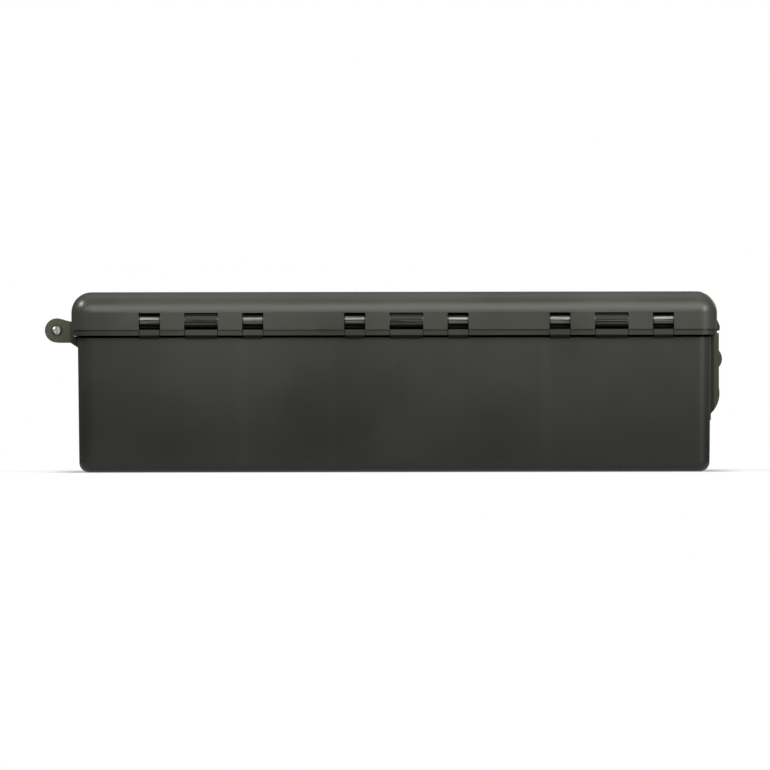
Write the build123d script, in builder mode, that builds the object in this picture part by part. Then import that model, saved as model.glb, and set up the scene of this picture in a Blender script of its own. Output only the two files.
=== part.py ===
from build123d import *
from math import cos, hypot, radians, sin, tan
import os

os.makedirs("parts", exist_ok=True)

# A moulded tackle case. X runs along the case, -Y is the hinged long side, +Z is up.
# The origin is on the flat underside, at the centre of the case in plan.
# All sizes are in millimetres and degrees.

# Case
lid_length = 360.0
lid_depth = 240.0
rim_height = 76.3
lid_height = 24.2
lid_corner = 12.0
lid_edge_radius = 11.4
lid_wall = 2.8
base_inset = 3.5
base_corner = 8.5
base_wall = 2.6
base_floor = 3.0
base_draft = 0.6
bottom_radius = 5.5
floor_radius = 4.0
body_gap = 0.3

# Rim: a bead and groove outside the lid, a ledge inside it, and the base wall under the ledge
bead_height = 2.2
groove_width = 0.9
groove_depth = 0.6
upstand_rise = 2.2
ledge_width = 2.6
ledge_height = 2.0
rear_rim_drop = 1.3
rear_rim_reach = 16.0

# Stiffening ribs under the lid
lid_rib_thickness = 1.6
lid_rib_height = 3.0
lid_rib_spacing_x = 84.0
lid_rib_spacing_y = 76.0

# Rear hinge: three steel pins in the lid, with base arms in open-bottomed windows
hinge_pitch = 114.4
hinge_offset = 6.8
hinge_axis_inset = 3.6
hinge_axis_rise = 8.5
hinge_pin_radius = 3.0
hinge_pin_length = 85.0
hinge_block_end = 1.5
hinge_block_wall = 1.8
hinge_block_rise = 6.4
side_window_spacing = 57.6
side_window_width = 11.8
middle_window_width = 18.8
window_rise = 4.0
arm_side_gap = 0.35
arm_block_rise = 3.3
arm_block_inset = 0.2
arm_web = 2.3
arm_gusset = 10.0
knuckle_wall = 1.2
snap_slot = 1.4
held_clearance = 0.02
running_clearance = 0.08

# Strap lugs and bar on the left end
lug_radius = 6.8
lug_reach = 9.0
lug_rise = 3.1
lug_width = 12.0
lug_spacing = 80.0
lug_lid_gap = 0.7
strap_bar_radius = 2.5
strap_bar_overhang = 0.6

# Latches: cheeks and pocket in the base, a hood and ledge on the lid
front_latch_spacing = 230.0
latch_bay = 38.0
cheek_thickness = 4.0
cheek_reach = 2.35
cheek_rise = 1.1
cheek_shoulder_drop = 29.5
cheek_drop = 45.1
hood_reach = 2.9
hood_rise = 11.7
hood_brow_rise = 5.0
hood_base_rise = 2.5
hood_margin = 1.0
pocket_depth = 8.0
pivot_inset = 2.9
pivot_drop = 13.4
pivot_boss_radius = 7.0
pivot_pin_radius = 1.5
lever_side_gap = 0.4
lever_ear = 5.0
lever_face = 1.8
lever_thickness = 2.5
lever_eye_radius = 4.4
lever_pad_start = 14.0
lever_pad_end = 23.4
crank_radius = 7.0
crank_angle = 9.8
hook_pin_radius = 1.2
hook_boss_wall = 1.4
hook_side_gap = 1.2
hook_thickness = 1.6
hook_face = 1.1
hook_rise = 9.2
hook_nose = 1.4
catch_gap = 0.5
catch_drop = 2.1
catch_headroom = 3.0
catch_depth = 2.6
catch_side_gap = 1.5
catch_wall = 2.5

# Fold-down handle on the front
handle_width = 120.0
handle_drop = 36.0
handle_bar = 9.0
handle_arm = 8.0
handle_thickness = 7.0
handle_corner = 12.0
handle_eye_radius = 5.0
handle_wall_gap = 0.5
handle_pivot_drop = 14.3
handle_pin_radius = 2.0
handle_pin_head = 3.6
handle_pin_head_length = 1.4
handle_ear_width = 6.0
handle_ear_gap = 0.4
handle_soften = 1.6
bracket_width = 15.0
bracket_height = 28.0
bracket_thickness = 1.6
bracket_corner = 3.0
bracket_seat_gap = 0.05

# Inside: two bay partitions, three dividers in the middle bay and two cross dividers in each end bay
partition_x = 84.6
partition_thickness = 1.8
divider_pitch = 35.0
divider_thickness = 1.6
cross_divider_spacing = 76.0
divider_top_drop = 8.3
divider_dip = 6.0
divider_end_gap = 0.4
divider_corner = 5.0
slot_rib_thickness = 1.4
slot_rib_depth = 2.6
slot_gap = 0.2

# Places that follow from the sizes above
case_height = rim_height + lid_height
half_length = lid_length / 2
half_depth = lid_depth / 2
base_length = lid_length - 2 * base_inset
base_depth = lid_depth - 2 * base_inset
wall_top = rim_height + upstand_rise
ledge_z = wall_top + body_gap
rear_rim = rim_height - rear_rim_drop
rear_face = -half_depth
hinge_y = rear_face + hinge_axis_inset
hinge_z = rim_height + hinge_axis_rise
knuckle_radius = hinge_pin_radius + running_clearance + knuckle_wall
hinge_centres = [hinge_offset + i * hinge_pitch for i in (-1, 0, 1)]
window_top = hinge_z + window_rise
pivot_z = rim_height - pivot_drop
crank_out = -crank_radius * sin(radians(crank_angle))
crank_down = crank_radius * cos(radians(crank_angle))
hook_pin_u = crank_out - pivot_inset
hook_pin_z = pivot_z - crank_down
hook_half = latch_bay / 2 - lever_side_gap - lever_ear - hook_side_gap
handle_u = handle_eye_radius + handle_wall_gap - base_inset
handle_z = rim_height - handle_pivot_drop
cavity_length = base_length - 2 * base_wall
cavity_depth = base_depth - 2 * base_wall
divider_top = rim_height - divider_top_drop

# Each latch has a name, a point on the lid face, and the outward and sideways directions
latches = [
    ("right_end", (half_length, 0, 0), (1, 0, 0), (0, -1, 0)),
    ("front_left", (-front_latch_spacing / 2, half_depth, 0), (0, 1, 0), (1, 0, 0)),
    ("front_right", (front_latch_spacing / 2, half_depth, 0), (0, 1, 0), (1, 0, 0)),
]


def section_plane(place, outward, sideways, along):
    """The upright section of a latch: x runs outward from the lid face, y runs up."""
    return Plane(origin=place, x_dir=outward, z_dir=sideways).offset(along)


def window_spans():
    """The nine hinge windows: the middle of each along X, its width, and whether a knuckle fills it."""
    for centre in hinge_centres:
        yield centre - side_window_spacing / 2, side_window_width, False
        yield centre, middle_window_width, True
        yield centre + side_window_spacing / 2, side_window_width, False


def cavity_half(half_size, height):
    """Half the inside width of the base at a height, which the draft narrows downwards."""
    return half_size - (wall_top - height) * tan(radians(base_draft))


def finish(piece, name):
    """Label a piece and write it."""
    piece.part.label = name
    export_step(piece.part, f"parts/{name}.step")


# Base shell: a drafted tray with a flat underside
with BuildPart() as base_shell:
    with BuildSketch(Plane.XY.offset(wall_top)):
        RectangleRounded(base_length, base_depth, base_corner)
    extrude(amount=-wall_top, taper=base_draft)
    fillet(base_shell.faces().sort_by(Axis.Z)[0].edges(), bottom_radius)
    with BuildSketch(Plane.XY.offset(wall_top)):
        RectangleRounded(cavity_length, cavity_depth, base_corner - base_wall)
    extrude(amount=base_floor - wall_top, taper=base_draft, mode=Mode.SUBTRACT)
    fillet(base_shell.faces().filter_by(Plane.XY).sort_by(Axis.Z)[1].edges(), floor_radius)

    # The rear rim is low, because the lid's edge swings in over it
    with BuildSketch(Plane.XY.offset(rear_rim)):
        with Locations((0, rear_face + rear_rim_reach / 2)):
            Rectangle(lid_length, rear_rim_reach)
    extrude(amount=wall_top, mode=Mode.SUBTRACT)

    # Hinge arms: a block in the window's foot and a web up to a cradle or a snap knuckle
    for middle, width, full_knuckle in window_spans():
        web_front = hinge_y + knuckle_radius - knuckle_wall / 2
        web_back = web_front + arm_web
        inner_wall = -cavity_half(cavity_depth / 2, rear_rim)
        with BuildSketch(Plane.YZ.offset(middle)):
            with BuildLine():
                Polyline(
                    (rear_face + arm_block_inset, rim_height - body_gap),
                    (rear_face + arm_block_inset, rim_height + arm_block_rise),
                    (web_front, rim_height + arm_block_rise),
                    (web_front, hinge_z),
                    (web_back, hinge_z),
                    (web_back, rear_rim),
                    (inner_wall - base_wall / 2, rear_rim - arm_gusset),
                    (inner_wall - base_wall + body_gap, rear_rim - 1),
                    close=True,
                )
            make_face()
            with Locations((hinge_y, hinge_z)):
                Circle(knuckle_radius)
                Circle(hinge_pin_radius + running_clearance, mode=Mode.SUBTRACT)
            if full_knuckle:
                with Locations((hinge_y - knuckle_radius / 2, hinge_z - snap_slot / 2)):
                    Rectangle(knuckle_radius, snap_slot, mode=Mode.SUBTRACT)
                with Locations((rear_face - knuckle_radius, hinge_z)):
                    Rectangle(2 * knuckle_radius, 2 * knuckle_radius, mode=Mode.SUBTRACT)
            else:
                with Locations((hinge_y + body_gap - knuckle_radius, hinge_z)):
                    Rectangle(2 * knuckle_radius, 2 * knuckle_radius, mode=Mode.SUBTRACT)
        extrude(amount=width / 2 - arm_side_gap, both=True)

    # Strap lugs on the left end, passing under the lid's rim
    lug_x = -half_length - lug_reach
    lug_z = rim_height + lug_rise
    lug_face = -half_length - lug_lid_gap
    base_face = -base_length / 2
    with BuildSketch(Plane.XZ):
        with BuildLine():
            Polyline(
                (lug_x, lug_z + lug_radius),
                (lug_face - 1, lug_z + lug_radius * 0.74),
                (lug_face, lug_z + lug_radius * 0.6),
                (lug_face, rim_height - body_gap),
                (base_face + base_wall / 2, rim_height - body_gap),
                (base_face + base_wall / 2, lug_z - lug_radius * 1.7),
                (base_face - 1, lug_z - lug_radius * 1.4),
                (lug_face - 1, lug_z - lug_radius),
                (lug_x, lug_z - lug_radius),
                close=True,
            )
        make_face()
        with Locations((lug_x, lug_z)):
            Circle(lug_radius)
            Circle(strap_bar_radius + held_clearance, mode=Mode.SUBTRACT)
    extrude(amount=(lug_spacing + lug_width) / 2, both=True)
    with BuildSketch(Plane.XZ):
        with Locations((lug_x - lug_radius, lug_z), (lug_x, lug_z)):
            Rectangle(2 * (lug_face - lug_x) + lug_radius, 4 * lug_radius)
    extrude(amount=(lug_spacing - lug_width) / 2, both=True, mode=Mode.SUBTRACT)

    # Latch bays: a pocket sunk in the wall, and two cheeks that carry the pivot pin
    for name, place, outward, sideways in latches:
        pocket_floor = pivot_z + pivot_drop - cheek_drop
        middle_plane = section_plane(place, outward, sideways, 0)
        with BuildSketch(middle_plane):
            with Locations((-(pocket_depth + base_wall), pocket_floor - base_wall)):
                Rectangle(
                    pocket_depth + base_wall / 2 - base_inset + base_wall,
                    rear_rim - pocket_floor + base_wall,
                    align=(Align.MIN, Align.MIN),
                )
        extrude(amount=latch_bay / 2 + base_wall, both=True)
        with BuildSketch(middle_plane):
            with Locations((-pocket_depth, pocket_floor)):
                Rectangle(2 * pocket_depth, case_height, align=(Align.MIN, Align.MIN))
        extrude(amount=latch_bay / 2, both=True, mode=Mode.SUBTRACT)
        for side in (-1, 1):
            cheek_middle = side * (latch_bay + cheek_thickness) / 2
            with BuildSketch(section_plane(place, outward, sideways, cheek_middle)):
                with BuildLine():
                    root = -base_inset - base_wall / 2
                    shoulder = (cheek_reach, rim_height - cheek_shoulder_drop)
                    foot = (-base_inset - base_wall / 2, rim_height - cheek_drop - 1)
                    top_corner = (cheek_reach, rim_height + cheek_rise)
                    Polyline(foot, (root, rim_height + cheek_rise), top_corner, shoulder)
                    bend = (cheek_reach - 1.1, (shoulder[1] + foot[1]) / 2 - 1.5)
                    ThreePointArc(shoulder, bend, foot)
                make_face()
                with Locations((-pivot_inset, pivot_z)):
                    Circle(pivot_boss_radius)
                with Locations((-base_inset - base_wall / 2, pivot_z)):
                    Rectangle(
                        2 * pivot_boss_radius,
                        4 * pivot_boss_radius,
                        align=(Align.MAX, Align.CENTER),
                        mode=Mode.SUBTRACT,
                    )
            extrude(amount=cheek_thickness / 2, both=True)
        with BuildSketch(middle_plane):
            with Locations((-pivot_inset, pivot_z)):
                Circle(pivot_pin_radius + held_clearance)
        extrude(amount=latch_bay / 2 + cheek_thickness - 1, both=True, mode=Mode.SUBTRACT)

    # Slot ribs that hold the partitions, the dividers and the outer ends of the cross dividers
    slots = [(side * partition_x, partition_thickness) for side in (-1, 1)]
    slots += [(i * divider_pitch, divider_thickness) for i in (-1, 0, 1)]
    rib_top = divider_top - divider_dip
    for slot_x, thickness in slots:
        for side in (-1, 1):
            rib_x = slot_x + side * (thickness / 2 + slot_gap + slot_rib_thickness / 2)
            with BuildSketch(Plane.XY.offset(base_floor - 1)):
                for wall_side in (-1, 1):
                    with Locations((rib_x, wall_side * (cavity_depth / 2 - slot_rib_depth / 2))):
                        Rectangle(slot_rib_thickness, slot_rib_depth + base_wall / 2)
            extrude(amount=rib_top - base_floor)
    for slot_y in (-cross_divider_spacing / 2, cross_divider_spacing / 2):
        for side in (-1, 1):
            rib_y = slot_y + side * (divider_thickness / 2 + slot_gap + slot_rib_thickness / 2)
            with BuildSketch(Plane.XY.offset(base_floor - 1)):
                for wall_side in (-1, 1):
                    with Locations((wall_side * (cavity_length / 2 - slot_rib_depth / 2), rib_y)):
                        Rectangle(slot_rib_depth + base_wall / 2, slot_rib_thickness)
            extrude(amount=rib_top - base_floor)
finish(base_shell, "base_shell")


# Lid shell: a round-edged top with a skirt that overhangs the base
with BuildPart() as lid_shell:
    with BuildSketch(Plane.XY.offset(rim_height)):
        RectangleRounded(lid_length, lid_depth, lid_corner)
    extrude(amount=lid_height)
    fillet(lid_shell.faces().sort_by(Axis.Z)[-1].edges(), lid_edge_radius)
    offset(amount=-lid_wall, openings=lid_shell.faces().sort_by(Axis.Z)[0])
    lid_ceiling = case_height - lid_wall

    # The groove above the rim bead, and the ledge over the base wall
    with BuildSketch(Plane.XY.offset(rim_height + bead_height)):
        RectangleRounded(lid_length + 2, lid_depth + 2, lid_corner + 1)
        RectangleRounded(
            lid_length - 2 * groove_depth,
            lid_depth - 2 * groove_depth,
            lid_corner - groove_depth,
            mode=Mode.SUBTRACT,
        )
    extrude(amount=groove_width, mode=Mode.SUBTRACT)
    with BuildSketch(Plane.XY.offset(ledge_z)):
        RectangleRounded(lid_length - lid_wall, lid_depth - lid_wall, lid_corner - lid_wall / 2)
        ledge_edge = 2 * (lid_wall + ledge_width)
        RectangleRounded(
            lid_length - ledge_edge, lid_depth - ledge_edge, lid_corner / 2, mode=Mode.SUBTRACT
        )
    extrude(amount=ledge_height)

    # Stiffening ribs across the ceiling
    with BuildSketch(Plane.XY.offset(lid_ceiling - lid_rib_height)):
        rib_run_x = lid_length - 4 * lid_edge_radius
        rib_run_y = lid_depth - 4 * lid_edge_radius
        with GridLocations(0, lid_rib_spacing_y, 1, 3):
            Rectangle(rib_run_x, lid_rib_thickness)
        with GridLocations(lid_rib_spacing_x, 0, 3, 1):
            Rectangle(lid_rib_thickness, rib_run_y)
    extrude(amount=lid_rib_height + lid_wall / 2)

    # Hinge blocks behind the skirt, one behind each group of three windows
    for centre in hinge_centres:
        with BuildSketch(Plane.YZ.offset(centre)):
            with Locations((rear_face + lid_wall / 2, rim_height)):
                Rectangle(
                    hinge_axis_inset + hinge_pin_radius + hinge_block_wall - lid_wall / 2,
                    hinge_axis_rise + hinge_block_rise,
                    align=(Align.MIN, Align.MIN),
                )
        extrude(amount=hinge_pin_length / 2 + hinge_block_end, both=True)
    window_depth = 2 * (hinge_axis_inset + knuckle_radius + arm_web)
    for middle, width, full_knuckle in window_spans():
        with BuildSketch(Plane.YZ.offset(middle)):
            with Locations((rear_face - 1, rim_height - 1)):
                Rectangle(window_depth, window_top - rim_height + 1, align=(Align.MIN, Align.MIN))
            with Locations((hinge_y, hinge_z)):
                Circle(knuckle_radius + body_gap)
        extrude(amount=width / 2, both=True, mode=Mode.SUBTRACT)
    for centre in hinge_centres:
        with BuildSketch(Plane.YZ.offset(centre - hinge_pin_length / 2 - 2 * hinge_block_end)):
            with Locations((hinge_y, hinge_z)):
                Circle(hinge_pin_radius + held_clearance)
        extrude(amount=hinge_pin_length + 2 * hinge_block_end, mode=Mode.SUBTRACT)

    # Latch hoods, and a pocket with a catch ledge behind each hook
    for name, place, outward, sideways in latches:
        middle_plane = section_plane(place, outward, sideways, 0)
        hood_half = latch_bay / 2 + cheek_thickness
        catch_half = hook_half + catch_side_gap
        catch_top = rim_height + hook_rise - hook_thickness - catch_gap
        with BuildSketch(middle_plane):
            with Locations((-lid_wall - 1, rim_height - 1)):
                Rectangle(4 * lid_wall, hood_base_rise + 1, align=(Align.MIN, Align.MIN))
        extrude(amount=hood_half + hood_margin, both=True, mode=Mode.SUBTRACT)
        with BuildSketch(middle_plane):
            with BuildLine():
                Polyline(
                    (-lid_wall / 2, rim_height + hood_rise),
                    (0, rim_height + hood_rise),
                    (hood_reach, rim_height + hood_brow_rise),
                    (hood_reach - 0.15, rim_height + hood_base_rise),
                    (-lid_wall / 2, rim_height + hood_base_rise),
                    close=True,
                )
            make_face()
        extrude(amount=hood_half, both=True)
        pocket_back = hook_face - hook_thickness - hook_nose - catch_gap - catch_depth
        pocket_top = rim_height + hook_rise + catch_headroom
        with BuildSketch(middle_plane):
            with Locations((-lid_wall / 2, ledge_z)):
                Rectangle(
                    -pocket_back + catch_wall - lid_wall / 2,
                    pocket_top + catch_wall - ledge_z,
                    align=(Align.MAX, Align.MIN),
                )
        extrude(amount=catch_half + catch_wall, both=True)
        with BuildSketch(middle_plane):
            with Locations((pocket_back, catch_top)):
                Rectangle(4 * pocket_depth, pocket_top - catch_top, align=(Align.MIN, Align.MIN))
            with Locations((pocket_back + catch_depth, rim_height)):
                Rectangle(4 * pocket_depth, pocket_top - rim_height, align=(Align.MIN, Align.MIN))
        extrude(amount=catch_half, both=True, mode=Mode.SUBTRACT)
finish(lid_shell, "lid_shell")


# Hinge pins, chamfered at both ends
for name, centre in zip(("left", "middle", "right"), hinge_centres):
    with BuildPart() as hinge_pin:
        with BuildSketch(Plane.YZ.offset(centre)):
            with Locations((hinge_y, hinge_z)):
                Circle(hinge_pin_radius)
        extrude(amount=hinge_pin_length / 2, both=True)
        chamfer(hinge_pin.edges(), hinge_pin_radius / 6)
    finish(hinge_pin, f"hinge_pin_{name}")


# Strap bar through both lugs
with BuildPart() as strap_bar:
    with BuildSketch(Plane.XZ):
        with Locations((lug_x, lug_z)):
            Circle(strap_bar_radius)
    extrude(amount=(lug_spacing + lug_width) / 2 + strap_bar_overhang, both=True)
    chamfer(strap_bar.edges(), strap_bar_overhang)
finish(strap_bar, "strap_bar")


# Latches: a lever, the hook that it carries, and their two pins
for name, place, outward, sideways in latches:
    middle_plane = section_plane(place, outward, sideways, 0)
    lever_half = latch_bay / 2 - lever_side_gap
    with BuildPart() as latch_lever:
        pad_outer = lever_face
        pad_top = pivot_z - lever_pad_start
        pad_bottom = pivot_z - lever_pad_end
        for side in (-1, 1):
            ear_middle = side * (lever_half - lever_ear / 2)
            with BuildSketch(section_plane(place, outward, sideways, ear_middle)):
                with Locations((-pivot_inset, pivot_z)):
                    Circle(lever_eye_radius)
                with Locations((hook_pin_u, hook_pin_z)):
                    Circle(hook_pin_radius + hook_boss_wall)
                with Locations((pad_outer - lever_thickness / 2, pad_bottom + lever_thickness / 2)):
                    Circle(lever_thickness / 2)
                make_hull()
            extrude(amount=lever_ear / 2, both=True)
        with BuildSketch(middle_plane):
            with Locations((pad_outer - lever_thickness / 2, (pad_top + pad_bottom) / 2)):
                SlotOverall(pad_top - pad_bottom, lever_thickness, rotation=90)
        extrude(amount=lever_half, both=True)
        with BuildSketch(middle_plane):
            with Locations((-pivot_inset, pivot_z)):
                Circle(pivot_pin_radius + running_clearance)
            with Locations((hook_pin_u, hook_pin_z)):
                Circle(hook_pin_radius + held_clearance)
        extrude(amount=latch_bay / 2, both=True, mode=Mode.SUBTRACT)
    finish(latch_lever, f"latch_lever_{name}")

    with BuildPart() as latch_hook:
        plate_outer = hook_face
        plate_inner = plate_outer - hook_thickness
        hook_top = rim_height + hook_rise
        boss_radius = hook_pin_radius + hook_boss_wall
        with BuildSketch(middle_plane):
            with BuildLine():
                Polyline(
                    (hook_pin_u, hook_pin_z + hook_thickness),
                    (plate_inner, hook_pin_z + hook_thickness),
                    (plate_inner, hook_top - hook_thickness),
                    (plate_inner - hook_nose, hook_top - hook_thickness),
                    (plate_inner - hook_nose, hook_top - hook_thickness / 2),
                    (plate_inner - hook_nose / 2, hook_top),
                    (plate_outer - hook_thickness / 3, hook_top),
                    (plate_outer, hook_top - hook_thickness / 3),
                    (plate_outer, hook_pin_z),
                    (plate_outer - hook_thickness, hook_pin_z - hook_thickness),
                    (hook_pin_u, hook_pin_z - hook_thickness),
                    close=True,
                )
            make_face()
            with Locations((hook_pin_u, hook_pin_z)):
                Circle(boss_radius)
                Circle(hook_pin_radius + running_clearance, mode=Mode.SUBTRACT)
        extrude(amount=hook_half, both=True)
    finish(latch_hook, f"latch_hook_{name}")

    with BuildPart() as latch_pivot_pin:
        with BuildSketch(middle_plane):
            with Locations((-pivot_inset, pivot_z)):
                Circle(pivot_pin_radius)
        extrude(amount=latch_bay / 2 + cheek_thickness - 1.2, both=True)
    finish(latch_pivot_pin, f"latch_pivot_pin_{name}")

    with BuildPart() as latch_hook_pin:
        with BuildSketch(middle_plane):
            with Locations((hook_pin_u, hook_pin_z)):
                Circle(hook_pin_radius)
        extrude(amount=lever_half, both=True)
    finish(latch_hook_pin, f"latch_hook_pin_{name}")


# Handle: a folded-down bow between two eyes
with BuildPart() as carry_handle:
    bow_plane = Plane(origin=(0, half_depth + handle_u, handle_z), x_dir=(1, 0, 0), z_dir=(0, -1, 0))
    with BuildSketch(bow_plane):
        with Locations((0, -handle_drop / 2)):
            Rectangle(handle_width, handle_drop)
            with Locations((0, handle_bar / 2)):
                Rectangle(handle_width - 2 * handle_arm, handle_drop - handle_bar, mode=Mode.SUBTRACT)
    extrude(amount=handle_thickness / 2, both=True)
    uprights = carry_handle.edges().filter_by(Axis.Y)
    outer_corners = uprights.group_by(Axis.Z)[0]
    fillet(outer_corners, handle_corner)
    inner_corners = carry_handle.edges().filter_by(Axis.Y).filter_by_position(
        Axis.Z, handle_z - handle_drop + handle_bar - 0.01, handle_z - handle_drop + handle_bar + 0.01
    )
    fillet(inner_corners, handle_corner - handle_arm + 1)
    chamfer(carry_handle.edges().filter_by(Axis.X), handle_soften)
    for side in (-1, 1):
        with BuildSketch(Plane.YZ.offset(side * (handle_width - handle_arm) / 2)):
            with Locations((half_depth + handle_u, handle_z)):
                Circle(handle_eye_radius)
        extrude(amount=handle_arm / 2, both=True)
    with BuildSketch(Plane.YZ):
        with Locations((half_depth + handle_u, handle_z)):
            Circle(handle_pin_radius + running_clearance)
    extrude(amount=handle_width / 2 + 1, both=True, mode=Mode.SUBTRACT)
finish(carry_handle, "carry_handle")

# Brackets on the front wall, each with an ear for its handle pin
for name, side in (("left", -1), ("right", 1)):
    with BuildPart() as handle_bracket:
        ear_inner = handle_width / 2 + handle_ear_gap
        bracket_y = half_depth - base_inset + bracket_seat_gap
        bracket_plane = Plane(origin=(0, bracket_y, handle_z), x_dir=(-1, 0, 0), z_dir=(0, 1, 0))
        with BuildSketch(bracket_plane):
            with Locations((-side * (ear_inner + bracket_width / 2), 0)):
                RectangleRounded(bracket_width, bracket_height, bracket_corner)
        extrude(amount=bracket_thickness)
        with BuildSketch(Plane.YZ.offset(side * (ear_inner + handle_ear_width / 2))):
            with BuildLine():
                Polyline(
                    (half_depth + handle_u, handle_z + handle_eye_radius),
                    (bracket_y + bracket_thickness / 2, handle_z + 1.8 * handle_eye_radius),
                    (bracket_y + bracket_thickness / 2, handle_z - 1.8 * handle_eye_radius),
                    (half_depth + handle_u, handle_z - handle_eye_radius),
                    close=True,
                )
            make_face()
            with Locations((half_depth + handle_u, handle_z)):
                Circle(handle_eye_radius)
            with Locations((bracket_y, handle_z)):
                Rectangle(
                    2 * handle_eye_radius,
                    4 * handle_eye_radius,
                    align=(Align.MAX, Align.CENTER),
                    mode=Mode.SUBTRACT,
                )
            with Locations((half_depth + handle_u, handle_z)):
                Circle(handle_pin_radius + held_clearance, mode=Mode.SUBTRACT)
        extrude(amount=handle_ear_width / 2, both=True)
    finish(handle_bracket, f"handle_bracket_{name}")

# Handle pins: each headed outside its ear
for name, side in (("left", -1), ("right", 1)):
    with BuildPart() as handle_pin:
        pin_start = side * (handle_width / 2 - handle_arm)
        ear_face = handle_ear_gap + handle_ear_width
        with BuildSketch(Plane.YZ.offset(pin_start)):
            with Locations((half_depth + handle_u, handle_z)):
                Circle(handle_pin_radius)
        extrude(amount=side * (handle_arm + ear_face + handle_pin_head_length))
        with BuildSketch(Plane.YZ.offset(side * (handle_width / 2 + ear_face))):
            with Locations((half_depth + handle_u, handle_z)):
                Circle(handle_pin_head)
        extrude(amount=side * handle_pin_head_length)
    finish(handle_pin, f"handle_pin_{name}")


def divider_outline(half_top, half_bottom, top):
    """A divider's outline: tapered with the walls, with a finger dip in the top."""
    dip_half = half_top / 3
    return [
        (-half_bottom, base_floor),
        (half_bottom, base_floor),
        (half_top, top),
        (dip_half, top),
        (dip_half - divider_dip, top - divider_dip),
        (divider_dip - dip_half, top - divider_dip),
        (-dip_half, top),
        (-half_top, top),
    ]


# Dividers across the middle bay, and the two partitions that carry the cross dividers
across = [(f"bay_partition_{name}", side * partition_x, partition_thickness, divider_top)
          for name, side in (("left", -1), ("right", 1))]
across += [(f"centre_divider_{name}", i * divider_pitch, divider_thickness, divider_top - divider_dip)
           for name, i in (("left", -1), ("middle", 0), ("right", 1))]
for name, plate_x, thickness, top in across:
    with BuildPart() as divider:
        with BuildSketch(Plane.YZ.offset(plate_x)):
            with BuildLine():
                half_top = cavity_half(cavity_depth / 2, top) - divider_end_gap
                half_low = cavity_half(cavity_depth / 2, base_floor) - divider_end_gap
                Polyline(divider_outline(half_top, half_low, top), close=True)
            make_face()
        extrude(amount=thickness / 2, both=True)
        low_edges = divider.edges().filter_by(Axis.X).group_by(Axis.Z)[0]
        fillet(low_edges, divider_corner)
    finish(divider, name)

for end_name, end in (("left", -1), ("right", 1)):
    for row_name, row in (("rear", -1), ("front", 1)):
        with BuildPart() as cross_divider:
            inner = partition_x + partition_thickness / 2 + divider_end_gap
            top = divider_top - divider_dip
            outer_top = cavity_half(cavity_length / 2, top) - divider_end_gap
            outer_low = cavity_half(cavity_length / 2, base_floor) - divider_end_gap
            with BuildSketch(Plane.XZ.offset(-row * cross_divider_spacing / 2)):
                with BuildLine():
                    Polyline(
                        (end * inner, base_floor),
                        (end * (outer_low - divider_corner), base_floor),
                        (end * outer_low, base_floor + divider_corner),
                        (end * outer_top, top),
                        (end * inner, top),
                        close=True,
                    )
                make_face()
            extrude(amount=divider_thickness / 2, both=True)
        finish(cross_divider, f"cross_divider_{end_name}_{row_name}")
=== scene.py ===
from math import pi, radians

import bmesh
import bpy
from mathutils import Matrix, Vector


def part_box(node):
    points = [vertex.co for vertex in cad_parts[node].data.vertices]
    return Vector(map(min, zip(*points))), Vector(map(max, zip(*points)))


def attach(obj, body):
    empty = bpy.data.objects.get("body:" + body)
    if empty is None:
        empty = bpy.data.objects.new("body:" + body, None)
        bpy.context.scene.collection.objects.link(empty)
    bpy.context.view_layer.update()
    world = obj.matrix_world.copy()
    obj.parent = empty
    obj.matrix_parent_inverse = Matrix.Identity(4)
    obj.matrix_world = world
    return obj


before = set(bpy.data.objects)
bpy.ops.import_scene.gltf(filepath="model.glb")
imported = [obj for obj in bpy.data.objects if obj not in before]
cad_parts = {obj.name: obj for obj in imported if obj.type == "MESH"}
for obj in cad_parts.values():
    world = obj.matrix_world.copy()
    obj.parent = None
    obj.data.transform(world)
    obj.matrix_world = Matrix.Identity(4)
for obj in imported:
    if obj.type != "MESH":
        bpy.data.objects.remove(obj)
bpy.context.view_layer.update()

bl_info = {
    "name": "Moulded tackle case",
    "version": (1, 0, 0),
    "blender": (4, 5, 0),
    "location": "View3D > Sidebar > Tackle case",
    "description": "Finishes and small pieces of a moulded tackle case with draw latches",
    "category": "Add Mesh",
}


def box_corners(name):
    """A CAD node's lowest and highest corners."""
    return tuple(Vector(corner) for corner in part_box(name))


def middle_of(name):
    """The middle of a CAD node's box."""
    low, high = box_corners(name)
    return (low + high) / 2


MM = 0.001
LATCHES = ("right_end", "front_left", "front_right")
HINGE_PINS = ("left", "middle", "right")

# The lid's length leaves out the hood at its right end, and the rear wall faces -Y
LID_LOW, LID_HIGH = box_corners("lid_shell")
LID_LENGTH = -2 * LID_LOW.x
SEAM_Z = LID_LOW.z

# The strap bar, and where the lugs round it meet the base's end wall
BAR_LOW, BAR_HIGH = box_corners("strap_bar")
BAR_RADIUS = (BAR_HIGH.x - BAR_LOW.x) / 2
LUG_X = BAR_HIGH.x + 5.0 * MM

# Beyond these, only the latch cheeks stand out of the base's right and front walls
CHEEK_X = LID_HIGH.x - 3.3 * MM
CHEEK_Y = LID_HIGH.y - 3.3 * MM

# Where an inner wall meets the base's wall, a pale stripe of painted light stands for the shading of its
# sink mark: how far it is from the case's middle, half the width of its stripe, and the stripe's strength
PARTITION_X = middle_of("bay_partition_right").x
DIVIDER_X = middle_of("centre_divider_right").x
SINK_MARK_LIGHT = (
    (PARTITION_X, 4.0 * MM, 0.38),
    (DIVIDER_X, 2.2 * MM, 0.171),
    (0.0, 2.2 * MM, 0.152),
)

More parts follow.
